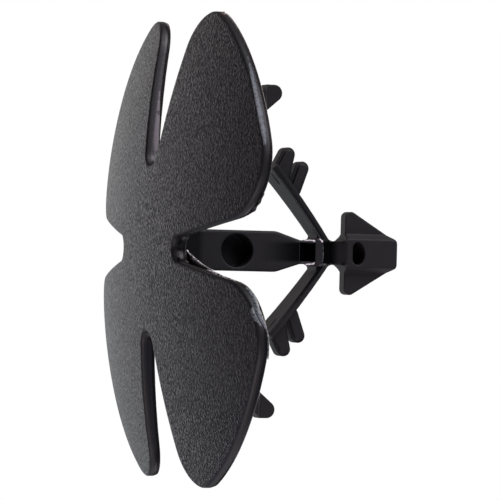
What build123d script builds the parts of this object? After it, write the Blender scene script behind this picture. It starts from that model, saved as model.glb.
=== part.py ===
from build123d import *
import os
from math import cos, radians, sin, sqrt, tan

# Bonnet retainer clip: one moulding in black nylon. Millimetres, +Z up.
# It stands on its domed head with the stem upwards. Z is the stem's axis and z = 0 is the
# crown of the dome. The slits, legs, arms and arrowhead wings lie in the XZ plane, and the
# two wide notches open towards -Y and +Y. The clip is the same on both sides of the YZ plane.
# Its -Y and +Y sides differ only in the two blind pockets, which open towards -Y.

# Head
head_diameter = 50.0
dome_radius = 84.6
crown_thickness = 1.55
rim_thickness = 1.00
front_edge = 0.12
rear_edge_width = 0.12
rear_edge_height = 0.38

# Slits between the petals, along X
slit_root_distance = 8.2
slit_root_radius = 1.8
slit_half_angle = 13.5
slit_corner_radius = 4.4

# Wide notches between the petals, along Y
notch_root_distance = 7.5
notch_root_radius = 1.3
notch_half_angle = 9.0
notch_corner_radius = 5.4

# Flat shank with a round blind pocket in its -Y face
shank_width = 4.1
shank_thickness = 3.1
shank_edge_radius = 0.25
shoulder_length = 2.6
shank_pocket_diameter = 3.4
shank_pocket_height = 9.3
shank_pocket_depth = 2.4

# Neck: a sunk recess, a raised cross-bar and a saddle, each placed from the arrowhead's ledge
neck_width = 2.4
neck_below_ledge = 5.15
recess_length = 1.75
recess_slope_share = 0.7
recess_lip = 0.24
recess_web = 0.8
bar_below_ledge = 3.55
bar_length = 0.81
bar_width = 2.6
bar_round_share = 0.2
saddle_web = 0.8
saddle_floor_share = 0.48
saddle_bend_share = 0.45

# Arrowhead nose: two thin wings and a thick rib between them
ledge_height = 21.25
nose_height = 26.65
nose_width = 2.8
wing_span = 9.36
wing_thickness = 1.3
wing_corner_radius = 0.6
nose_corner_radius = 0.7
ledge_fillet = 0.55
rib_thickness = 2.9
rib_face_width = 2.85
rib_base_width = 3.85
nose_pocket_height = 22.4
nose_pocket_length = 1.50
nose_pocket_width = 2.35
nose_pocket_depth = 2.2

# Spring arms, which lean back from the neck towards the head
arm_thickness = 0.70
arm_root_width = 2.6
arm_tip_width = 4.2
arm_root_x = 0.3
arm_root_below_ledge = 1.8
arm_end = (8.50, 12.95)
arm_bow = 0.165
arm_inner_fillet = 0.45
arm_outer_fillet = 0.9

# Teeth on the outer side of each arm: a root circle and a tip circle for each, given as the
# distance back from the arm's end, the distance out from its middle line, and the radius
tooth_thickness = 1.3
front_tooth = ((3.38, 0.73, 0.72), (2.19, 2.64, 0.72))
back_tooth = ((1.30, 0.44, 1.00), (0.17, 2.30, 0.72))
land_rise = 0.32
land_margin = 0.28

# Stand-off legs on the rear of the head
leg_width = 2.4
leg_tip_width = 1.3
leg_thickness = 2.0
leg_lean = 40.5
foot_span = 33.5
foot_height = 14.05
foot_radius = 0.85
leg_step_height = 12.1
leg_step_length = 0.4

# How far cutting shapes run past the body, and how near to a line a point counts as on it
overrun = 1.0
near = 0.01


def dome_sag(distance, radius):
    """How far a dome of this radius has risen at this distance from its axis."""
    return radius - sqrt(radius**2 - distance**2)


head_radius = head_diameter / 2
rim_height = dome_sag(head_radius, dome_radius)
rear_rise = rim_height + rim_thickness - crown_thickness
rear_radius = (head_radius**2 + rear_rise**2) / (2 * rear_rise)
neck_start_height = ledge_height - neck_below_ledge
shoulder_height = neck_start_height - shoulder_length
bar_height = ledge_height - bar_below_ledge
arm_root = (arm_root_x, ledge_height - arm_root_below_ledge)


def rear_height(distance):
    """Height of the head's rear face at this distance from the axis."""
    return crown_thickness + dome_sag(distance, rear_radius)


def both_sides(solid):
    """The solid with its mirror image across the YZ plane."""
    return solid + mirror(solid, about=Plane.YZ)


def both_faces(solid):
    """The solid with its mirror image across the XZ plane."""
    return solid + mirror(solid, about=Plane.XZ)


def slot_with_round_root(root_distance, root_radius, half_angle, reach):
    """A gap along +X that widens outwards from a round root."""
    angle = radians(half_angle)
    centre = root_distance + root_radius
    touch = Vector(centre - root_radius * sin(angle), root_radius * cos(angle))
    far = Vector(reach, touch.Y + (reach - touch.X) * tan(angle))
    outline = Polyline(
        (touch.X, touch.Y),
        (far.X, far.Y),
        (far.X, -far.Y),
        (touch.X, -touch.Y),
    )
    root = ThreePointArc((touch.X, -touch.Y), (root_distance, 0), (touch.X, touch.Y))
    return make_face(outline + root)


def petal_outline():
    """The head seen along the stem: a disc with two slits and two wide notches."""
    reach = head_radius + 2 * overrun
    slit = slot_with_round_root(slit_root_distance, slit_root_radius, slit_half_angle, reach)
    notch = slot_with_round_root(notch_root_distance, notch_root_radius, notch_half_angle, reach)
    disc = Circle(head_radius)
    for turn in (0, 180):
        disc -= Rot(0, 0, turn) * slit
        disc -= Rot(0, 0, turn + 90) * notch
    corners = [v for v in disc.vertices() if Vector(v.X, v.Y).length > head_radius - near]
    at_slits = [v for v in corners if abs(v.X) > abs(v.Y)]
    disc = fillet(at_slits, slit_corner_radius)
    corners = [v for v in disc.vertices() if Vector(v.X, v.Y).length > head_radius - near]
    at_notches = [v for v in corners if abs(v.X) < head_radius / 3]
    return fillet(at_notches, notch_corner_radius)


def ball(radius, lowest):
    """A ball over the head, with its poles to the sides, so that its lowest part is plain."""
    return Pos(0, 0, lowest + radius) * Rot(90, 0, 0) * Sphere(radius)


def domed_face(plate, rank):
    """One of the two domed faces, in order of height: 0 is the front, -1 the rear."""
    return plate.faces().filter_by(GeomType.SPHERE).sort_by(Axis.Z)[rank]


def head():
    """A dome, thicker at the crown than at the rim, cut into four petals with eased edges."""
    plate = extrude(petal_outline(), rear_height(head_radius) + overrun)
    plate = plate & ball(dome_radius, 0) - ball(rear_radius, crown_thickness)
    rear = domed_face(plate, -1)
    plate = chamfer(rear.edges()[0], rear_edge_width, rear_edge_height, reference=rear)
    front = domed_face(plate, 0)
    return chamfer(front.edges()[0], front_edge)


def in_profile(outline, thickness):
    """A flat outline in the XZ plane, given thickness to both sides of that plane."""
    return extrude(Plane.XZ * outline, thickness / 2, both=True)


def shank_outline():
    """The shank and neck in the XZ plane, from the head's crown to the arrowhead."""
    half = shank_width / 2
    neck = neck_width / 2
    foot = crown_thickness / 2
    outline = Polyline(
        (-half, foot),
        (-half, shoulder_height),
        (-neck, neck_start_height),
        (-neck, ledge_height + ledge_fillet),
        (neck, ledge_height + ledge_fillet),
        (neck, neck_start_height),
        (half, shoulder_height),
        (half, foot),
        close=True,
    )
    outline = make_face(outline)
    shoulders = [v for v in outline.vertices() if abs(v.Y - shoulder_height) < near]
    return fillet(shoulders, shank_width / 2)


def shank():
    """The flat shank and neck, with rounded long edges."""
    solid = in_profile(shank_outline(), shank_thickness)
    long_edges = [
        e
        for e in solid.edges()
        if abs(abs(e.center().Y) - shank_thickness / 2) < near
        and e.length > shank_edge_radius * 4
        and abs(e.center().X) > near
    ]
    return fillet(long_edges, shank_edge_radius)


def shank_pocket():
    """The round blind pocket in the face of the shank on the -Y side."""
    middle = Vector(0, -shank_thickness / 2 + shank_pocket_depth / 2, shank_pocket_height)
    return Pos(middle) * Rot(90, 0, 0) * Cylinder(shank_pocket_diameter / 2, shank_pocket_depth)


def neck_recess():
    """A sloping recess in the -Y face of the neck, closed at its top by the cross-bar."""
    face = -shank_thickness / 2
    floor = -recess_web / 2
    start = bar_height - recess_length
    outline = Polyline(
        (face - overrun, start),
        (face, start),
        (floor, start + recess_length * recess_slope_share),
        (floor, bar_height),
        (face - overrun, bar_height),
        close=True,
    )
    width = neck_width - 2 * recess_lip
    return extrude(Plane.YZ * make_face(outline), width / 2, both=True)


def neck_saddle():
    """The hollow across the -Y face of the neck, between the cross-bar and the arrowhead."""
    face = -shank_thickness / 2
    floor = -saddle_web / 2
    low = bar_height + bar_length
    floor_length = (ledge_height - low) * saddle_floor_share
    outline = Polyline(
        (face - overrun, low),
        (floor, low),
        (floor, low + floor_length),
        (-rib_thickness / 2, ledge_height),
        (-rib_thickness / 2, ledge_height + 2 * ledge_fillet),
        (face - overrun, ledge_height + 2 * ledge_fillet),
        close=True,
    )
    outline = make_face(outline)
    bends = [v for v in outline.vertices() if abs(v.X - floor) < near]
    outline = fillet(bends, floor_length * saddle_bend_share)
    return extrude(Plane.YZ * outline, neck_width / 2, both=True)


def cross_bar():
    """The low bar across the neck, a little wider than the neck."""
    bar = Box(bar_width, shank_thickness, bar_length)
    bar = fillet(bar.edges().filter_by(Axis.X), bar_length * bar_round_share)
    return Pos(0, 0, bar_height + bar_length / 2) * bar


def arrow_outline():
    """The arrowhead in the XZ plane, with a stub of the neck that carries it."""
    neck = neck_width / 2
    half = wing_span / 2
    nose = nose_width / 2
    outline = Polyline(
        (-neck, bar_height),
        (-neck, ledge_height),
        (-half, ledge_height),
        (-nose, nose_height),
        (nose, nose_height),
        (half, ledge_height),
        (neck, ledge_height),
        (neck, bar_height),
        close=True,
    )
    outline = make_face(outline)
    corners = outline.vertices()
    outline = fillet([v for v in corners if abs(v.X) > neck * 1.5], wing_corner_radius)
    corners = outline.vertices()
    outline = fillet([v for v in corners if abs(v.Y - nose_height) < near], nose_corner_radius)
    corners = outline.vertices()
    inner = [v for v in corners if abs(abs(v.X) - neck) < near and abs(v.Y - ledge_height) < near]
    return fillet(inner, ledge_fillet)


def arrowhead():
    """Two thin wings and a thick rib with sloping sides, with an oval blind pocket in front."""
    face = rib_face_width / 2
    base = rib_base_width / 2
    wing = wing_thickness / 2
    rib = rib_thickness / 2
    section = Polyline(
        (face, rib), (base, wing), (base, -wing), (face, -rib),
        (-face, -rib), (-base, -wing), (-base, wing), (-face, rib),
        close=True,
    )
    rib_section = make_face(section)
    length = nose_height - bar_height
    rib_bar = Pos(0, 0, bar_height) * extrude(rib_section, length)
    body = in_profile(arrow_outline(), wing_thickness)
    body += in_profile(arrow_outline(), rib_thickness) & rib_bar
    oval = Ellipse(nose_pocket_width / 2, nose_pocket_length / 2)
    face_plane = Plane.XZ.offset(rib)
    pocket = extrude(face_plane * Pos(0, nose_pocket_height) * oval, -nose_pocket_depth)
    return body - pocket


def arm_strip():
    """The arm in the XZ plane, slightly bowed, and the three points of its inner side."""
    start = Vector(*arm_root)
    end = Vector(*arm_end)
    chord = end - start
    across = Vector(-chord.Y, chord.X).normalized()
    radius = (chord.length**2 / 4 + arm_bow**2) / (2 * arm_bow)
    middle = (start + end) / 2 + across * arm_bow
    centre = middle - across * radius

    def side(shift):
        scale = (radius + shift) / radius
        return [centre + (point - centre) * scale for point in (start, middle, end)]

    outer = side(arm_thickness / 2)
    inner = side(-arm_thickness / 2)
    sides = ThreePointArc(*outer) + ThreePointArc(*inner)
    ends = Line(outer[0], inner[0]) + Line(outer[2], inner[2])
    return make_face(sides + ends), inner


def tooth_outline(circles, shrink=0.0):
    """The hull of a tooth's two circles, placed from the arm's end and made smaller all round."""
    end = Vector(*arm_end)
    back = (Vector(*arm_root) - end).normalized()
    out = Vector(back.Y, -back.X)
    discs = []
    for distance, height, radius in circles:
        centre = end + back * distance + out * height
        discs.append(Pos(centre) * Circle(radius - shrink))
    return make_hull([edge for disc in discs for edge in disc.edges()])


def arm_and_teeth():
    """A spring arm that widens towards its end, with two flat teeth and their raised lands."""
    strip, inner = arm_strip()
    below = Polyline(inner[0], inner[1], inner[2], (inner[2].X, 0), (0, 0), (0, inner[0].Y))
    below = make_face(below + Line((0, inner[0].Y), inner[0]))
    teeth = tooth_outline(front_tooth) + tooth_outline(back_tooth) - below
    plates = in_profile(teeth, tooth_thickness)
    lands = tooth_outline(front_tooth, land_margin) + tooth_outline(back_tooth, land_margin)
    lands = in_profile(lands - below, tooth_thickness + 2 * land_rise)
    plan = Polyline(
        (arm_root[0] - arm_thickness, arm_root_width / 2),
        (arm_end[0] + arm_thickness, arm_tip_width / 2),
        (arm_end[0] + arm_thickness, -arm_tip_width / 2),
        (arm_root[0] - arm_thickness, -arm_root_width / 2),
        close=True,
    )
    blank = in_profile(strip, arm_tip_width)
    blank &= extrude(make_face(plan), nose_height)
    return blank + plates + lands


def arm_root_corners():
    """The rounded corners between an arm and the neck, below and above the arm."""
    strip, inner = arm_strip()
    outline = shank_outline() + strip
    meets = [
        v
        for v in outline.vertices()
        if abs(v.X - neck_width / 2) < near and neck_start_height + near < v.Y < ledge_height
    ]
    below, above = sorted(meets, key=lambda v: v.Y)
    rounded = fillet(below, arm_inner_fillet)
    above = [v for v in rounded.vertices() if (Vector(v) - Vector(above)).length < near]
    rounded = fillet(above, arm_outer_fillet)
    return in_profile(rounded - outline, arm_root_width)


def leg():
    """A stand-off leg with a rounded foot: a thick lower part, then a thinner tip."""
    lean = radians(leg_lean)
    along = Vector(sin(lean), cos(lean))
    inwards = Vector(-cos(lean), sin(lean))
    outer_x = foot_span / 2
    foot = Vector(outer_x - foot_radius, foot_height - foot_radius)
    inner_touch = foot + inwards * foot_radius
    outer_bend = inner_touch - inwards * leg_thickness
    outer_bend += along * ((outer_x - outer_bend.X) / along.X)
    root = crown_thickness / 2
    inner_root = inner_touch - along * ((inner_touch.Y - root) / along.Y)
    outer_root = outer_bend - along * ((outer_bend.Y - root) / along.Y)
    crest = foot + (inwards + Vector(1, 0)).normalized() * foot_radius
    sides = Polyline(inner_touch, inner_root, outer_root, outer_bend, (outer_x, foot.Y))
    tip = ThreePointArc((outer_x, foot.Y), crest, inner_touch)
    outline = make_face(sides + tip)
    wide = leg_width / 2
    thin = leg_tip_width / 2
    step_top = leg_step_height + leg_step_length
    side_view = Polyline(
        (-wide, 0), (-wide, leg_step_height), (-thin, step_top), (-thin, foot_height),
        (thin, foot_height), (thin, step_top), (wide, leg_step_height), (wide, 0),
        close=True,
    )
    return in_profile(outline, leg_width) & extrude(Plane.YZ * make_face(side_view), head_radius)


def retainer_clip():
    """The whole moulding."""
    clip = head() + shank() + cross_bar() + arrowhead()
    clip += both_sides(arm_and_teeth() + arm_root_corners())
    clip += both_sides(leg())
    clip -= shank_pocket()
    return clip - both_faces(neck_recess() + neck_saddle())


os.makedirs("parts", exist_ok=True)
export_step(retainer_clip(), "parts/retainer_clip.step")
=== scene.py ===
from math import cos, radians

import bpy
from bpy.props import FloatProperty, FloatVectorProperty, IntProperty, PointerProperty
from bpy.types import Operator, Panel, PropertyGroup
from mathutils import Matrix, Vector


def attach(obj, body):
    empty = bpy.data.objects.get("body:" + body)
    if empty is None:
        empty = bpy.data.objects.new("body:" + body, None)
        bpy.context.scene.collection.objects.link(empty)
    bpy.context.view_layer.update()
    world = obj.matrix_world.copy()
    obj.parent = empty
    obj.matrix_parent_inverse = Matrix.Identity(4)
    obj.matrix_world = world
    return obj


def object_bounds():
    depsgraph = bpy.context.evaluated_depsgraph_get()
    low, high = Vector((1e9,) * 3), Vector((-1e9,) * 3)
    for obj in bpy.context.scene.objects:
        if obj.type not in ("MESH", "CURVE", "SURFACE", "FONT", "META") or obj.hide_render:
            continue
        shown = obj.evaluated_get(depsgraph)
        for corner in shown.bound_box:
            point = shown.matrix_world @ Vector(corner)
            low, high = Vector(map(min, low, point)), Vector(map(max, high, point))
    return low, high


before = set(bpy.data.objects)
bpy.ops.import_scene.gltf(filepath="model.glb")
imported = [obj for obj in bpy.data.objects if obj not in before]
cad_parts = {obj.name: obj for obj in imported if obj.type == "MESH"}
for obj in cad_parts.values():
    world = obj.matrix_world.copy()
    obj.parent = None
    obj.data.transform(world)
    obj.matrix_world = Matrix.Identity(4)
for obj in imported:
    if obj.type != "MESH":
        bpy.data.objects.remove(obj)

bl_info = {
    "name": "Bonnet retainer clip",
    "version": (1, 0, 0),
    "blender": (4, 5, 0),
    "location": "View3D > Sidebar > Clip",
    "description": "Finishes, moulding flash and studio for a nylon bonnet retainer clip",
    "category": "Object",
}

# Metres, in the frame of the construction model: z = 0 is the crown of the domed head, +Z runs
# along the stem to the arrowhead nose, and X runs through the legs and spring arms.
MM = 0.001
CLIP = "retainer_clip"
BODY = "root"
CAD_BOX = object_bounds()

# Radius of the head's outer face, whose centre is on the stem's axis.
DOME_RADIUS = 84.6 * MM

# Half the width of the soft step between the two sides of the parting line on the rim.
PARTING_BLUR = 0.08 * MM

# Heights between which the head's finish gives way to that of the stem, arms and legs.
STEM_START = (5.2 * MM, 6.0 * MM)

# How squarely a face looks along Z: on the rims, and on the domed faces.
DOMED = (0.80, 0.92)

# How squarely a face looks along Y: on the sides, and on the flat faces of the stem and arms.
FLAT = (0.85, 0.95)

# The mean of the noise that makes the grain and the patches.
NOISE_MEAN = 0.5

# The grain: its noise in the pits and on the tops, the share of its strength that the rims and
# the stem keep, and the places along Y between which it grows flatter.
GRAIN_NOISE = (0.3, 0.7)
PLAIN_STRENGTH = 0.2
GRAIN_FLATTENS = (-6 * MM, 6 * MM)

# The box that holds the neck's two hollows, where shade is painted and the nylon is polished:
# axis, middle, half size and half width of its edge.
HOLLOWS = (
    ("X", 0, 1.22 * MM, 0.05 * MM),
    ("Y", 0, 1.46 * MM, 0.04 * MM),
    ("Z", 17.9 * MM, 2.25 * MM, 0.35 * MM),
)

# The painted shade at the end of the shank's flat faces, towards the recess in the neck: the
# heights between which it deepens, the height at which it stops, and the distances from the
# middle between which it fades.
SHANK_DEEPENS = (11.4 * MM, 16.0 * MM)
SHANK_STOPS = 17.2 * MM
SHANK_FADES = (0.8 * MM, 1.2 * MM)

# The arms' inner walls lie where these shares of the distance out and of the height make up
# this sum, which grows towards the outer walls.
ARM_WALL_OUT = 0.62
ARM_WALL_UP = 0.785
ARM_WALL_SUM = 15.22 * MM

# The band of painted shade, also polished, on the arms' flat faces: the depths behind the inner
# wall at which it starts and between which it fades, the distance out at which it leaves the
# stem, and the distances out between which it weakens to its level at the arm's end.
ARM_BAND_STARTS = -0.05 * MM
ARM_BAND_FADES = (0.15 * MM, 0.50 * MM)
ARM_LEAVES_STEM = 1.38 * MM
ARM_BAND_WEAKENS = (3.0 * MM, 7.0 * MM)
ARM_END_LEVEL = 0.5

# Refractive index of nylon.
NYLON_IOR = 1.53

# Patchy nylon: how far the values of its noise spread, half the width of a patch's soft edge in
# the same values, and the strength and height of the relief between the patches.
PATCH_SPREAD = 0.35
PATCH_EDGE = 0.06
PATCH_STRENGTH = 0.6
PATCH_HEIGHT = 0.05 * MM

# Strands of flash and other marks, as x, y, z and half width in millimetres from end to end.
# Before them stands their flatness: the share of the half width that is kept level and upright.
NOTCH_FILM = {
    "notch_film": ((1.0, 0.22), (
        (0.55, -7.82, 1.73, 0.24), (0.70, -8.08, 1.75, 0.42), (0.88, -8.45, 1.78, 0.44),
        (1.12, -9.12, 1.85, 0.40), (1.33, -10.04, 1.94, 0.30), (1.56, -10.94, 2.04, 0.22),
        (1.78, -12.01, 2.18, 0.16), (1.97, -13.06, 2.32, 0.10),
    )),
    "notch_ooze": ((1.0, 1.0), (
        (0.78, -7.76, 0.85, 0.05), (1.09, -8.09, 0.91, 0.10), (1.30, -8.70, 0.98, 0.12),
        (1.48, -9.98, 1.05, 0.12), (1.63, -10.81, 1.20, 0.11), (1.80, -11.94, 1.36, 0.12),
        (1.94, -12.76, 1.54, 0.10), (2.12, -13.86, 1.76, 0.08), (2.32, -15.15, 1.95, 0.04),
    )),
}
# Burrs in near-white: in part stretched nylon, in part painted highlight for glints on glossy
# edges; the wall burr is a glint along the wall's back edge.
NOTCH_BURRS = {
    "notch_burr": ((1.0, 1.0), (
        (0.10, -7.90, 1.77, 0.04), (0.18, -8.02, 1.77, 0.15), (0.30, -8.18, 1.79, 0.05),
        (0.45, -8.50, 1.82, 0.05), (0.70, -9.10, 1.87, 0.12), (0.90, -9.62, 1.92, 0.15),
        (1.06, -10.04, 1.96, 0.17), (1.26, -10.66, 2.03, 0.14), (1.44, -11.25, 2.10, 0.10),
        (1.62, -12.01, 2.20, 0.05), (1.88, -13.06, 2.34, 0.06), (1.98, -13.80, 2.44, 0.05),
    )),
    "wall_burr_glint": ((1.0, 1.0), (
        (1.96, -12.90, 2.06, 0.06), (2.05, -13.50, 2.12, 0.12), (2.22, -14.65, 2.19, 0.11),
        (2.34, -15.40, 2.20, 0.14), (2.43, -16.04, 2.22, 0.15), (2.54, -16.75, 2.27, 0.10),
        (2.65, -17.41, 2.33, 0.15), (2.82, -18.49, 2.53, 0.13), (2.96, -19.13, 2.80, 0.07),
    )),
    "far_lip_burr": ((1.0, 1.0), (
        (-1.19, -1.42, 16.28, 0.04), (-1.20, -1.42, 16.62, 0.06), (-1.20, -1.43, 17.00, 0.08),
        (-1.18, -1.44, 17.34, 0.06), (-1.15, -1.49, 17.56, 0.15), (-1.13, -1.49, 17.74, 0.08),
    )),
    "near_lip_burr": ((1.0, 1.0), (
        (1.18, -1.42, 16.68, 0.05), (1.19, -1.42, 16.94, 0.10), (1.18, -1.43, 17.19, 0.09),
        (1.13, -1.47, 17.38, 0.08), (1.09, -1.52, 17.54, 0.16), (1.08, -1.51, 17.70, 0.08),
    )),
    "bar_burr": ((1.0, 1.0), (
        (-1.33, -1.46, 17.96, 0.07), (-1.35, -1.48, 18.12, 0.11), (-1.28, -1.52, 18.24, 0.06),
        (-1.14, -1.54, 18.38, 0.13), (-1.08, -1.54, 18.50, 0.06),
    )),
}
BAR_BURRS = {
    "bar_edge": ((1.0, 1.0), (
        (-1.06, -1.42, 18.53, 0.04), (-0.50, -1.43, 18.56, 0.06), (0.10, -1.44, 18.57, 0.04),
        (0.62, -1.43, 18.56, 0.06), (1.10, -1.42, 18.53, 0.05),
    )),
    "bar_side": ((1.0, 1.0), (
        (1.30, -1.48, 18.00, 0.05), (1.29, -1.50, 18.20, 0.08), (1.18, -1.48, 18.46, 0.07),
        (1.06, -1.42, 18.56, 0.04),
    )),
}
TORN_FLASH = {
    "torn_corner": ((1.0, 1.0), (
        (3.50, -20.40, 3.30, 0.08), (3.66, -20.68, 3.38, 0.16), (3.90, -20.99, 3.46, 0.22),
        (4.16, -21.29, 3.57, 0.21), (4.52, -21.64, 3.68, 0.27), (4.93, -21.97, 3.76, 0.26),
        (5.30, -22.22, 3.74, 0.33), (5.64, -22.40, 3.74, 0.28), (5.96, -22.56, 3.84, 0.34),
        (6.34, -22.70, 3.98, 0.27), (6.76, -22.82, 4.16, 0.28), (7.20, -22.92, 4.37, 0.20),
        (7.60, -22.98, 4.52, 0.16),
    )),
    "torn_tag": ((1.0, 1.0), (
        (5.24, -22.20, 3.34, 0.08), (5.56, -22.40, 3.28, 0.18), (5.86, -22.54, 3.30, 0.25),
        (6.14, -22.66, 3.42, 0.17), (6.46, -22.78, 3.54, 0.24), (6.80, -22.88, 3.74, 0.15),
        (7.10, -22.94, 3.98, 0.18), (7.40, -23.00, 4.28, 0.09),
    )),
    "back_edge": ((1.0, 1.0), (
        (7.40, -22.98, 4.56, 0.07), (7.90, -23.04, 4.64, 0.11), (8.45, -23.06, 4.69, 0.12),
        (9.00, -23.06, 4.73, 0.10), (9.60, -23.02, 4.76, 0.09), (10.20, -22.86, 4.78, 0.06),
    )),
}
SAW_FLASH = {
    "saw_teeth": ((1.0, 1.0), (
        (-5.50, -22.24, 4.20, 0.05), (-5.27, -22.32, 4.17, 0.13), (-4.98, -22.02, 4.08, 0.07),
        (-4.62, -21.90, 4.03, 0.09), (-4.43, -21.80, 4.00, 0.12), (-4.24, -21.36, 3.90, 0.08),
        (-3.90, -21.16, 3.84, 0.09), (-3.70, -21.00, 3.80, 0.12), (-3.58, -20.48, 3.67, 0.08),
        (-3.36, -20.02, 3.57, 0.09), (-3.22, -19.50, 3.46, 0.04),
    )),
}
# A pale film strand on the far petal's slit wall: partly scuffed film, and partly painted
# highlight for the light streak along the wall's back part.
SLIT_FILM = {
    "slit_film_highlight": ((0.20, 1.0), (
        (-8.95, 1.52, 1.48, 0.10), (-9.30, 1.68, 1.56, 0.24), (-9.90, 1.83, 1.60, 0.32),
        (-10.80, 2.04, 1.68, 0.34), (-11.86, 2.29, 1.82, 0.32), (-13.20, 2.61, 2.00, 0.24),
        (-14.60, 2.94, 2.18, 0.16), (-16.00, 3.27, 2.36, 0.08),
    )),
}
# A film strand on the upper near petal's rim whose bluish pale patches are painted highlight for
# the rim's bluish streak.
RIM_FILM = {
    "rim_film_highlight": ((0.26, 1.0), (
        (-20.60, -14.04, 4.40, 0.06), (-20.04, -14.82, 4.36, 0.16), (-19.00, -16.18, 4.26, 0.21),
        (-17.90, -17.40, 4.16, 0.24), (-16.46, -18.79, 4.06, 0.26), (-14.95, -20.02, 3.99, 0.30),
        (-13.45, -21.06, 3.95, 0.33), (-11.95, -21.94, 3.96, 0.34), (-10.60, -22.62, 3.98, 0.31),
        (-9.60, -22.99, 4.03, 0.22), (-8.90, -23.12, 4.08, 0.08),
    )),
}
GATE_NIB = {
    "gate_nib": ((1.0, 1.0), (
        (-22.50, -10.12, 4.04, 0.20), (-22.76, -10.22, 4.06, 0.22), (-22.94, -10.30, 4.08, 0.17),
        (-23.06, -10.34, 4.10, 0.08),
    )),
}
SPECKS = {
    "speck_top": ((1.0, 0.6), (
        (4.97, -12.68, 1.11, 0.04), (5.02, -12.74, 1.11, 0.08), (5.07, -12.80, 1.12, 0.04),
    )),
    "speck_middle": ((1.0, 0.6), (
        (9.27, -11.62, 1.31, 0.03), (9.31, -11.60, 1.31, 0.06), (9.36, -11.58, 1.32, 0.03),
    )),
    "speck_low": ((1.0, 0.6), (
        (9.84, -11.56, 1.36, 0.04), (9.89, -11.50, 1.36, 0.10), (9.95, -11.45, 1.37, 0.04),
    )),
}

# The light tent: the direction of each soft box as seen from the clip, its strength, its tint.
SOFT_BOXES = (
    ((-0.94, -0.30, 0.15), 3.4, "#fbf9ff"),
    ((-0.72, -0.62, 0.35), 3.6, "#f9f2ff"),
    ((0.76, -0.57, -0.32), 4.2, "#fff3fa"),
    ((0.50, -0.79, 0.35), 0.46, "#d9dfff"),
    ((0.94, 0.30, 0.15), 1.35, "#f9f6ff"),
    ((0.60, 0.42, -0.68), 0.75, "#cfcbff"),
    ((0.29, 0.37, 0.88), 2.1, "#f2ecff"),
    ((-0.23, 0.21, 0.95), 2.2, "#fffbea"),
    ((-0.16, 0.60, 0.78), 3.7, "#ffeef0"),
    ((0.17, 0.98, -0.08), 1.12, "#f5fdff"),
    ((-0.38, 0.92, 0.08), 0.50, "#fff6ed"),
    ((-0.08, 0.91, -0.40), 0.78, "#fff4fa"),
)


def linear(hex_colour):
    """An sRGB hex colour such as #1b1b1d as linear red, green and blue."""
    shares = [int(hex_colour[i:i + 2], 16) / 255 for i in (1, 3, 5)]
    return tuple(s / 12.92 if s <= 0.04045 else ((s + 0.055) / 1.055) ** 2.4 for s in shares)


class ClipFinish(PropertyGroup):
    """Colours and surface of the black nylon."""

    nylon_colour: FloatVectorProperty(
        name="Nylon colour",
        description="Colour of the carbon-black filled nylon",
        subtype="COLOR",
        default=linear("#131214"),
    )
    grain_size: FloatProperty(
        name="Grain size",
        description="Width of one grain of the spark-eroded texture on the head",
        subtype="DISTANCE",
        default=0.26 * MM,
    )
    grain_height: FloatProperty(
        name="Grain height",
        description="Height of the grain of the spark-eroded texture",
        subtype="DISTANCE",
        default=0.10 * MM,
    )
    rubbed_share: FloatProperty(
        name="Rubbed share",
        description="Share of the grain height that is left on the petals of the +Y side",
        default=0.6,
    )
    pit_roughness: FloatProperty(
        name="Pit roughness",
        description="Roughness in the pits of the grain",
        default=0.72,
    )
    top_roughness: FloatProperty(
        name="Top roughness",
        description="Roughness on the rubbed tops of the grain",
        default=0.34,
    )
    front_radius: FloatProperty(
        name="Front radius",
        description="Rounding of the head's edges on the domed side",
        subtype="DISTANCE",
        default=0.55 * MM,
    )
    back_radius: FloatProperty(
        name="Back radius",
        description="Rounding of the head's edges on the hollow side",
        subtype="DISTANCE",
        default=0.10 * MM,
    )
    parting_depth: FloatProperty(
        name="Parting depth",
        description="How far behind the domed face the two halves of the tool meet on the rim",
        subtype="DISTANCE",
        default=0.55 * MM,
    )
    edge_radius: FloatProperty(
        name="Edge radius",
        description="Rounding of the edges of the stem, arms and legs",
        subtype="DISTANCE",
        default=0.25 * MM,
    )
    rim_roughness: FloatProperty(
        name="Rim roughness",
        description="Roughness of the front of the head's rim",
        default=0.50,
    )
    land_roughness: FloatProperty(
        name="Land roughness",
        description="Roughness of the rim's back, which the tool's smooth land has moulded",
        default=0.26,
    )
    # Painted shade: this near-black is laid on the neck's hollows and on bands of the shank and
    # arms, where shade falls.
    shade_painted_colour: FloatVectorProperty(
        name="Painted shade colour",
        description="Colour of the polished hollows of the neck and bands of the shank and arms",
        subtype="COLOR",
        default=linear("#040405"),
    )
    hollow_roughness: FloatProperty(
        name="Hollow roughness",
        description="Roughness of these polished hollows and bands",
        default=0.12,
    )
    stem_roughness: FloatProperty(
        name="Stem roughness",
        description="Roughness of the stem, arms and legs",
        default=0.60,
    )


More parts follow.
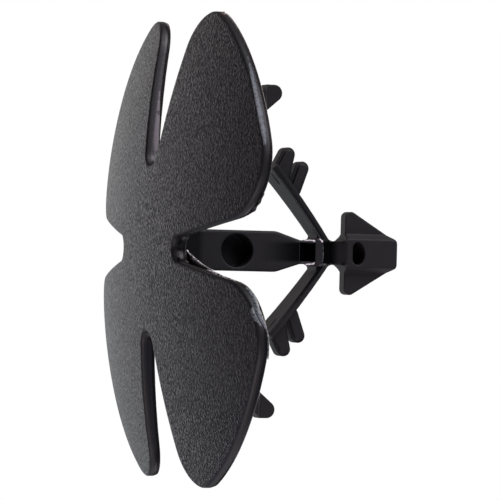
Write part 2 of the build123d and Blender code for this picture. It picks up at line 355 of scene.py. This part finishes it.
class ClipFlash(PropertyGroup):
    """Form and colours of the flash, burrs and specks."""

    sides: IntProperty(
        name="Sides",
        description="Corners of the ring that each strand is drawn from",
        default=8,
        min=3,
    )
    unevenness: FloatProperty(
        name="Unevenness",
        description="How far the points of a strand wander, as a share of its half width",
        default=0.3,
    )
    film_colour: FloatVectorProperty(
        name="Film colour",
        description="Colour of thin film, through which brown light passes",
        subtype="COLOR",
        default=linear("#160d0e"),
    )
    # Partly painted highlight: this near-white is stretched nylon and also stands for the glints
    # on the burrs' glossy edges.
    whitened_and_glint_colour: FloatVectorProperty(
        name="Whitened colour",
        description="Colour of nylon that was stretched until it turned white",
        subtype="COLOR",
        default=linear("#ece6e8"),
    )
    torn_colour: FloatVectorProperty(
        name="Torn colour",
        description="Colour of torn nylon",
        subtype="COLOR",
        default=linear("#6c7276"),
    )
    # Partly painted highlight: the pale of the slit wall's film is scuffing and also stands for
    # the light streak there.
    scuffed_highlight_colour: FloatVectorProperty(
        name="Scuffed colour",
        description="Colour of the scuffed film on the slit's wall",
        subtype="COLOR",
        default=linear("#645e63"),
    )
    # Painted highlight: this bluish pale stands for the bluish streak along the upper near
    # petal's rim.
    mottled_highlight_colour: FloatVectorProperty(
        name="Mottled colour",
        description="Colour of the film on the upper near petal's rim",
        subtype="COLOR",
        default=linear("#474e55"),
    )
    nib_colour: FloatVectorProperty(
        name="Nib colour",
        description="Colour of the nib that the gate has left",
        subtype="COLOR",
        default=linear("#7c6a60"),
    )
    speck_colour: FloatVectorProperty(
        name="Speck colour",
        description="Colour of the specks on the domed face",
        subtype="COLOR",
        default=linear("#9a98a0"),
    )


class ClipStage(PropertyGroup):
    """Camera, floor and light tent."""

    camera_distance: FloatProperty(
        name="Camera distance",
        description="From the camera to the plane through the crown of the head",
        subtype="DISTANCE",
        default=329.4 * MM,
    )
    camera_shift_right: FloatProperty(
        name="Aim to the right",
        description="How far right of the crown the camera is aimed",
        subtype="DISTANCE",
        default=10.54 * MM,
    )
    camera_shift_up: FloatProperty(
        name="Aim upwards",
        description="How far above the crown the camera is aimed",
        subtype="DISTANCE",
        default=-0.18 * MM,
    )
    camera_lens: FloatProperty(
        name="Lens",
        description="Focal length on a 36 mm wide sensor",
        unit="CAMERA",
        default=239.05,
    )
    look_up: FloatProperty(
        name="Look up",
        description="Angle by which the camera looks up at the domed face",
        subtype="ANGLE",
        default=radians(20.415),
    )
    heading: FloatProperty(
        name="Heading",
        description="Turn of the camera about the stem",
        subtype="ANGLE",
        default=radians(0.215),
    )
    roll: FloatProperty(
        name="Roll",
        description="Turn of the camera about its own axis, with the stem pointing right",
        subtype="ANGLE",
        default=radians(91.479),
    )
    floor_size: FloatProperty(
        name="Floor size",
        description="Side of the square floor",
        subtype="DISTANCE",
        default=3.0,
    )
    floor_colour: FloatVectorProperty(
        name="Floor colour",
        description="Colour of the matt floor",
        subtype="COLOR",
        default=linear("#ececec"),
    )
    tent_level: FloatProperty(
        name="Tent level",
        description="Brightness of the tent between its soft boxes",
        default=0.03,
    )
    box_inner: FloatProperty(
        name="Soft box core",
        description="Angle from the middle of a soft box within which it is fully bright",
        subtype="ANGLE",
        default=radians(12),
    )
    box_outer: FloatProperty(
        name="Soft box edge",
        description="Angle from the middle of a soft box at which it has faded away",
        subtype="ANGLE",
        default=radians(30),
    )


def add_node(tree, kind, inputs=None, **settings):
    """Adds a node, sets its properties and sockets by name, and links or fills its inputs."""
    node = tree.nodes.new(kind)
    for name, value in settings.items():
        if hasattr(node, name):
            setattr(node, name, value)
        else:
            node.inputs[name.replace("_", " ")].default_value = value
    for socket, source in (inputs or {}).items():
        if isinstance(source, bpy.types.NodeSocket):
            tree.links.new(source, node.inputs[socket])
        else:
            node.inputs[socket].default_value = source
    return node


def calculate(tree, operation, *values, **settings):
    """The result of one math operation on numbers or sockets."""
    node = add_node(
        tree, "ShaderNodeMath", dict(enumerate(values)), operation=operation, **settings,
    )
    return node.outputs[0]


def ramp(tree, value, low, high, start=0.0, end=1.0, **settings):
    """Goes from start to end as the value goes from low to high, and stays there beyond them."""
    inputs = {"Value": value, "From Min": low, "From Max": high, "To Min": start, "To Max": end}
    return add_node(tree, "ShaderNodeMapRange", inputs, **settings).outputs[0]


def fade(tree, share, start, end):
    """Goes from start to end as a share goes from 0 to 1."""
    return ramp(tree, share, 0.0, 1.0, start, end)


def product(tree, shares):
    """All the shares multiplied with each other."""
    result, *others = shares
    for share in others:
        result = calculate(tree, "MULTIPLY", result, share)
    return result


def new_material(name):
    """An empty material with its output node."""
    material = bpy.data.materials.new(name)
    material.use_nodes = True
    material.node_tree.nodes.clear()
    return material, material.node_tree, add_node(material.node_tree, "ShaderNodeOutputMaterial")


def hollow_mask(tree, along):
    """1 in the hollows of the neck, within a box about the stem's axis, and 0 outside it: where
    shade is painted and the nylon polished.
    """
    shares = []
    for axis, middle, half, soft in HOLLOWS:
        away = calculate(
            tree, "ABSOLUTE", calculate(tree, "SUBTRACT", along.outputs[axis], middle),
        )
        shares.append(ramp(tree, away, half - soft, half + soft, 1.0, 0.0))
    return product(tree, shares)


def flat_mask(tree, facing):
    """1 on the flat faces of the stem and arms, which look along Y, and 0 on their sides."""
    return ramp(tree, calculate(tree, "ABSOLUTE", facing.outputs["Y"]), *FLAT)


def shank_mask(tree, along, facing):
    """Rises from 0 to 1 along the shank's flat faces towards the recess in the neck, else 0:
    where shade is painted and the nylon polished.
    """
    out = calculate(tree, "ABSOLUTE", along.outputs["X"])
    return product(tree, (
        ramp(tree, along.outputs["Z"], *SHANK_DEEPENS),
        calculate(tree, "LESS_THAN", along.outputs["Z"], SHANK_STOPS),
        ramp(tree, out, *SHANK_FADES, 1.0, 0.0),
        flat_mask(tree, facing),
    ))


def arm_mask(tree, along, facing):
    """Near 1 on the arms' flat faces beside their inner walls, most at the root, else 0: where
    shade is painted and the nylon polished.
    """
    out = calculate(tree, "ABSOLUTE", along.outputs["X"])
    spread = calculate(tree, "MULTIPLY", out, ARM_WALL_OUT)
    # the sum that tells how far a point lies behind the inner wall
    reach = calculate(tree, "MULTIPLY_ADD", along.outputs["Z"], ARM_WALL_UP, spread)
    return product(tree, (
        ramp(tree, reach, *(ARM_WALL_SUM + depth for depth in ARM_BAND_FADES), 1.0, 0.0),
        calculate(tree, "GREATER_THAN", reach, ARM_WALL_SUM + ARM_BAND_STARTS),
        ramp(tree, out, *ARM_BAND_WEAKENS, 1.0, ARM_END_LEVEL),
        calculate(tree, "GREATER_THAN", out, ARM_LEAVES_STEM),
        flat_mask(tree, facing),
    ))


def moulded_nylon(finish):
    """Black polyamide from a tool that is spark-eroded on the head's domed faces alone."""
    material, tree, output = new_material("spark_textured_nylon")
    coordinates = add_node(tree, "ShaderNodeTexCoord")
    place = coordinates.outputs["Object"]
    along = add_node(tree, "ShaderNodeSeparateXYZ", {0: place})
    facing = add_node(tree, "ShaderNodeSeparateXYZ", {0: coordinates.outputs["Normal"]})
    stem = ramp(tree, along.outputs["Z"], *STEM_START)
    # 1 on the domed faces, 0 on the rims and on the stem
    upright = calculate(tree, "ABSOLUTE", facing.outputs["Z"])
    textured = calculate(tree, "SUBTRACT", ramp(tree, upright, *DOMED), stem, use_clamp=True)
    # 0 in front of the parting line on the rim, 1 behind it, told by the depth behind the dome
    centre = add_node(
        tree, "ShaderNodeVectorMath", {0: place, 1: (0, 0, DOME_RADIUS)}, operation="DISTANCE",
    )
    parting = DOME_RADIUS - finish.parting_depth
    behind = ramp(tree, centre.outputs["Value"], parting + PARTING_BLUR, parting - PARTING_BLUR)
    # the grain, which is rubbed flatter on the petals of the +Y side
    eroded = add_node(
        tree, "ShaderNodeTexNoise", {"Vector": place},
        Scale=1 / finish.grain_size, Detail=1.0, Roughness=0.5,
    ).outputs["Fac"]
    rubbed = ramp(tree, along.outputs["Y"], *GRAIN_FLATTENS, 0.0, 1 - finish.rubbed_share)
    grain = add_node(
        tree, "ShaderNodeMix", {"Factor": rubbed, "A": eroded, "B": NOISE_MEAN},
    ).outputs[0]
    # edges are rounder in front of the parting line than behind it
    rim_radius = fade(tree, behind, finish.front_radius, finish.back_radius)
    radius = fade(tree, stem, rim_radius, finish.edge_radius)
    edges = add_node(tree, "ShaderNodeBevel", {"Radius": radius}, samples=8)
    strength = fade(tree, textured, PLAIN_STRENGTH, 1.0)
    bump = add_node(
        tree, "ShaderNodeBump",
        {"Height": grain, "Strength": strength, "Normal": edges.outputs[0]},
        Distance=finish.grain_height,
    )
    # the neck's hollows and the bands on the shank and arms are polished, and their near-black
    # is painted shade
    bands = calculate(
        tree, "MAXIMUM", arm_mask(tree, along, facing), shank_mask(tree, along, facing),
    )
    black = calculate(tree, "MAXIMUM", hollow_mask(tree, along), bands)
    colour = add_node(
        tree, "ShaderNodeMix",
        {"Factor": black, "A": (*finish.nylon_colour, 1.0), "B": (*finish.shade_painted_colour, 1.0)},
        data_type="RGBA",
    )
    rim = fade(tree, behind, finish.rim_roughness, finish.land_roughness)
    plain = fade(tree, stem, rim, finish.stem_roughness)
    polished = fade(tree, black, plain, finish.hollow_roughness)
    # the tops of the grain are rubbed smoother than the pits between them
    matt = ramp(tree, grain, *GRAIN_NOISE, finish.pit_roughness, finish.top_roughness)
    rough = add_node(tree, "ShaderNodeMix", {"Factor": textured, "A": polished, "B": matt})
    shader = add_node(
        tree, "ShaderNodeBsdfPrincipled",
        {"Base Color": colour.outputs["Result"], "Normal": bump.outputs["Normal"],
         "Roughness": rough.outputs[0]},
        IOR=NYLON_IOR, Specular_IOR_Level=0.3,
    )
    tree.links.new(shader.outputs[0], output.inputs["Surface"])
    return material


def patchy_nylon(name, dark, pale, patch, pale_share, roughness):
    """Nylon with pale patches of a given size, whose share of the surface is about as given."""
    material, tree, output = new_material(name)
    place = add_node(tree, "ShaderNodeTexCoord").outputs["Object"]
    cloud = add_node(
        tree, "ShaderNodeTexNoise", {"Vector": place}, Scale=1 / patch, Detail=2.0,
    ).outputs["Fac"]
    # half the surface lies above the mean, so a larger share needs a lower middle
    middle = NOISE_MEAN + PATCH_SPREAD * (0.5 - pale_share)
    colour = add_node(
        tree, "ShaderNodeMix",
        {"Factor": ramp(tree, cloud, middle - PATCH_EDGE, middle + PATCH_EDGE),
         "A": (*dark, 1.0), "B": (*pale, 1.0)},
        data_type="RGBA",
    )
    bump = add_node(
        tree, "ShaderNodeBump", {"Height": cloud},
        Strength=PATCH_STRENGTH, Distance=PATCH_HEIGHT,
    )
    shader = add_node(
        tree, "ShaderNodeBsdfPrincipled",
        {"Base Color": colour.outputs["Result"], "Normal": bump.outputs["Normal"]},
        Roughness=roughness, IOR=NYLON_IOR, Specular_IOR_Level=0.5,
    )
    tree.links.new(shader.outputs[0], output.inputs["Surface"])
    return material


def strand(name, flatness, points, flash, seed, material):
    """A thin closed strand: a ring drawn from point to point, each with its own half width."""
    places = [Vector(point[:3]) * MM for point in points]
    widths = [point[3] * MM for point in points]
    bpy.ops.object.select_all(action="DESELECT")
    bpy.ops.mesh.primitive_circle_add(
        vertices=flash.sides, radius=widths[0], fill_type="NGON", location=places[0],
        rotation=(places[-1] - places[0]).to_track_quat("Z", "Y").to_euler(),
    )
    piece = bpy.context.object
    piece.name = name
    piece.scale = (*flatness, 1.0)
    bpy.ops.object.transform_apply(location=True, rotation=True, scale=True)
    bpy.ops.object.mode_set(mode="EDIT")
    bpy.ops.mesh.select_all(action="SELECT")
    for before, after, was, now in zip(places, places[1:], widths, widths[1:]):
        bpy.ops.mesh.extrude_region_move(TRANSFORM_OT_translate={"value": after - before})
        bpy.ops.transform.resize(value=(now / was,) * 3, center_override=after)
    bpy.ops.mesh.select_all(action="SELECT")
    bpy.ops.transform.vertex_random(
        offset=flash.unevenness * min(flatness) * sum(widths) / len(widths),
        uniform=1.0, seed=seed,
    )
    bpy.ops.mesh.normals_make_consistent(inside=False)
    bpy.ops.object.mode_set(mode="OBJECT")
    rounded = piece.modifiers.new("rounded", "SUBSURF")
    rounded.levels = 2
    bpy.ops.object.modifier_apply(modifier=rounded.name)
    bpy.ops.object.shade_smooth()
    piece.data.materials.append(material)
    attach(piece, BODY)


def strands(group, flash, material):
    """Draws the strands of a group, each with its own seed."""
    for seed, (name, (flatness, points)) in enumerate(group.items(), start=1):
        strand(name, flatness, points, flash, seed, material)


class CLIP_OT_nylon(Operator):
    """Gives the moulding its spark-textured nylon"""

    bl_idname = "clip.nylon"
    bl_label = "Moulded nylon"

    def execute(self, context):
        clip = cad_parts[CLIP]
        clip.data.materials.clear()
        clip.data.materials.append(moulded_nylon(context.scene.clip_finish))
        return {"FINISHED"}


class CLIP_OT_notch_film(Operator):
    """Draws the dark film of flash that hangs on the lower wall of the near notch"""

    bl_idname = "clip.notch_film"
    bl_label = "Film in the notch"

    def execute(self, context):
        flash = context.scene.clip_flash
        # film a tenth of a millimetre thick, glossy where it touched the tool
        film = patchy_nylon(
            "flash_film", dark=linear("#08060a"), pale=flash.film_colour,
            patch=0.5 * MM, pale_share=0.5, roughness=0.30,
        )
        strands(NOTCH_FILM, flash, film)
        return {"FINISHED"}


class CLIP_OT_burrs(Operator):
    """Draws the whitened burrs on the notch, the lips of the neck's recess and the cross-bar,
    whose white is partly painted highlight
    """

    bl_idname = "clip.burrs"
    bl_label = "Whitened burrs"

    def execute(self, context):
        flash = context.scene.clip_flash
        # edges dragged over the tool as it opened, stretched white in places; the near-white is
        # in part stretched nylon and in part painted highlight, for the glints on these glossy
        # edges
        whitened = patchy_nylon(
            "whitened_nylon_and_glint", dark=flash.film_colour, pale=flash.whitened_and_glint_colour,
            patch=0.32 * MM, pale_share=0.62, roughness=0.22,
        )
        strands(NOTCH_BURRS, flash, whitened)
        # the same edge where it was only dulled
        dulled = patchy_nylon(
            "dulled_nylon", dark=linear("#242226"), pale=flash.torn_colour,
            patch=0.3 * MM, pale_share=0.5, roughness=0.4,
        )
        strands(BAR_BURRS, flash, dulled)
        return {"FINISHED"}


class CLIP_OT_torn_flash(Operator):
    """Draws the torn flash on the corner of the lower near petal"""

    bl_idname = "clip.torn_flash"
    bl_label = "Torn flash"

    def execute(self, context):
        flash = context.scene.clip_flash
        # rough, fibrous tear, paler than the moulded face
        torn = patchy_nylon(
            "torn_nylon", dark=linear("#26282b"), pale=flash.torn_colour,
            patch=0.18 * MM, pale_share=0.6, roughness=0.45,
        )
        strands(TORN_FLASH, flash, torn)
        return {"FINISHED"}


class CLIP_OT_saw_flash(Operator):
    """Draws the jagged flash on the corner of the upper near petal"""

    bl_idname = "clip.saw_flash"
    bl_label = "Jagged flash"

    def execute(self, context):
        flash = context.scene.clip_flash
        # thin black flash with a trace of brown
        jagged = patchy_nylon(
            "jagged_flash", dark=flash.film_colour, pale=linear("#241d1e"),
            patch=0.4 * MM, pale_share=0.5, roughness=0.5,
        )
        strands(SAW_FLASH, flash, jagged)
        return {"FINISHED"}


class CLIP_OT_wall_films(Operator):
    """Draws the films on the far petal's slit wall and on the upper near petal's rim, with
    painted highlight in their pale patches
    """

    bl_idname = "clip.wall_films"
    bl_label = "Films on the walls"

    def execute(self, context):
        flash = context.scene.clip_flash
        # film smeared along the wall, its pale patches partly scuffing and partly painted
        # highlight
        scuffed = patchy_nylon(
            "scuffed_film_highlight", dark=linear("#2a2628"), pale=flash.scuffed_highlight_colour,
            patch=0.9 * MM, pale_share=0.85, roughness=0.4,
        )
        strands(SLIT_FILM, flash, scuffed)
        # the same film in finer patches, whose bluish pale is painted highlight
        mottled = patchy_nylon(
            "mottled_film_highlight", dark=linear("#25282c"), pale=flash.mottled_highlight_colour,
            patch=0.3 * MM, pale_share=0.6, roughness=0.45,
        )
        strands(RIM_FILM, flash, mottled)
        return {"FINISHED"}


class CLIP_OT_gate_nib(Operator):
    """Draws the nib at the tip of the upper near petal"""

    bl_idname = "clip.gate_nib"
    bl_label = "Gate nib"

    def execute(self, context):
        flash = context.scene.clip_flash
        # snapped nib, brownish where it is thin
        snapped = patchy_nylon(
            "snapped_nib", dark=linear("#3a3230"), pale=flash.nib_colour,
            patch=0.25 * MM, pale_share=0.7, roughness=0.5,
        )
        strands(GATE_NIB, flash, snapped)
        return {"FINISHED"}


class CLIP_OT_specks(Operator):
    """Draws the pale specks on the lower near petal"""

    bl_idname = "clip.specks"
    bl_label = "Specks"

    def execute(self, context):
        flash = context.scene.clip_flash
        # chips of whitened nylon pressed into the face
        chips = patchy_nylon(
            "pale_chips", dark=linear("#5c5a60"), pale=flash.speck_colour,
            patch=0.1 * MM, pale_share=0.7, roughness=0.5,
        )
        strands(SPECKS, flash, chips)
        return {"FINISHED"}


def floor_material(stage):
    """A matt pale floor that only the camera sees, from above, and that light passes through."""
    material, tree, output = new_material("pale_floor")
    diffuse = add_node(tree, "ShaderNodeBsdfDiffuse", Color=(*stage.floor_colour, 1.0))
    clear = add_node(tree, "ShaderNodeBsdfTransparent")
    camera_ray = add_node(tree, "ShaderNodeLightPath").outputs["Is Camera Ray"]
    below = add_node(tree, "ShaderNodeNewGeometry").outputs["Backfacing"]
    seen = calculate(tree, "SUBTRACT", camera_ray, below, use_clamp=True)
    mix = add_node(
        tree, "ShaderNodeMixShader", {0: seen, 1: clear.outputs[0], 2: diffuse.outputs[0]},
    )
    tree.links.new(mix.outputs[0], output.inputs["Surface"])
    return material


def studio_world(stage):
    """A white surround to the eye, and to the clip a dim tent lit by soft boxes on all sides."""
    world = bpy.data.worlds.new("light_tent")
    bpy.context.scene.world = world
    world.use_nodes = True
    tree = world.node_tree
    tree.nodes.clear()
    direction = add_node(tree, "ShaderNodeTexCoord").outputs["Generated"]
    light = add_node(tree, "ShaderNodeRGB").outputs[0]
    light.default_value = (stage.tent_level, stage.tent_level, stage.tent_level, 1.0)
    for toward, strength, tint in SOFT_BOXES:
        near = add_node(
            tree, "ShaderNodeVectorMath", {0: direction, 1: toward}, operation="DOT_PRODUCT",
        )
        level = ramp(
            tree, near.outputs["Value"], cos(stage.box_outer), cos(stage.box_inner),
            0.0, strength, interpolation_type="SMOOTHSTEP",
        )
        tinted = add_node(
            tree, "ShaderNodeVectorMath", {0: linear(tint), "Scale": level}, operation="SCALE",
        )
        total = add_node(tree, "ShaderNodeVectorMath", {0: light, 1: tinted.outputs[0]})
        light = total.outputs[0]
    tent = add_node(tree, "ShaderNodeBackground", {"Color": light}, Strength=1.0)
    white = add_node(tree, "ShaderNodeBackground", Color=(1, 1, 1, 1), Strength=1.0)
    camera_ray = add_node(tree, "ShaderNodeLightPath").outputs["Is Camera Ray"]
    mix = add_node(
        tree, "ShaderNodeMixShader", {0: camera_ray, 1: tent.outputs[0], 2: white.outputs[0]},
    )
    output = add_node(tree, "ShaderNodeOutputWorld")
    tree.links.new(mix.outputs[0], output.inputs["Surface"])


class CLIP_OT_stage(Operator):
    """Sets up the camera, the floor and the light tent"""

    bl_idname = "clip.stage"
    bl_label = "Studio"

    def execute(self, context):
        stage = context.scene.clip_stage
        data = bpy.data.cameras.new("camera")
        data.lens = stage.camera_lens
        data.clip_start = 0.01
        camera = bpy.data.objects.new("camera", data)
        context.scene.collection.objects.link(camera)
        turn = Matrix.Rotation(stage.heading, 4, "Z")
        turn @= Matrix.Rotation(radians(90) + stage.look_up, 4, "X")
        turn @= Matrix.Rotation(stage.roll, 4, "Z")
        aim = (stage.camera_shift_right, stage.camera_shift_up, stage.camera_distance)
        camera.matrix_world = turn @ Matrix.Translation(aim)
        context.scene.camera = camera
        bpy.ops.object.select_all(action="DESELECT")
        bpy.ops.mesh.primitive_plane_add(size=stage.floor_size, location=(0, 0, CAD_BOX[0].z))
        floor = context.object
        floor.name = "floor"
        floor.data.materials.append(floor_material(stage))
        studio_world(stage)
        context.scene.view_settings.view_transform = "Standard"
        return {"FINISHED"}


class CLIP_PT_panel(Panel):
    """Lists the clip's finishes, details and studio"""

    bl_idname = "CLIP_PT_panel"
    bl_label = "Bonnet retainer clip"
    bl_space_type = "VIEW_3D"
    bl_region_type = "UI"
    bl_category = "Clip"

    def draw(self, context):
        for name in GROUPS:
            group = getattr(context.scene, name)
            box = self.layout.box()
            for value in group.__annotations__:
                box.prop(group, value)
        for operator in OPERATORS:
            self.layout.operator(operator.bl_idname)


GROUPS = {"clip_finish": ClipFinish, "clip_flash": ClipFlash, "clip_stage": ClipStage}
OPERATORS = (
    CLIP_OT_stage, CLIP_OT_nylon, CLIP_OT_notch_film, CLIP_OT_burrs, CLIP_OT_torn_flash,
    CLIP_OT_saw_flash, CLIP_OT_wall_films, CLIP_OT_gate_nib, CLIP_OT_specks,
)


def register():
    for part in (*GROUPS.values(), *OPERATORS, CLIP_PT_panel):
        bpy.utils.register_class(part)
    for name, group in GROUPS.items():
        setattr(bpy.types.Scene, name, PointerProperty(type=group))


def unregister():
    for name in GROUPS:
        delattr(bpy.types.Scene, name)
    for part in (CLIP_PT_panel, *reversed(OPERATORS), *reversed(list(GROUPS.values()))):
        bpy.utils.unregister_class(part)


def main():
    register()
    bpy.ops.clip.stage()
    bpy.ops.clip.nylon()
    bpy.ops.clip.notch_film()
    bpy.ops.clip.burrs()
    bpy.ops.clip.torn_flash()
    bpy.ops.clip.saw_flash()
    bpy.ops.clip.wall_films()
    bpy.ops.clip.gate_nib()
    bpy.ops.clip.specks()


if __name__ == "__main__":
    main()
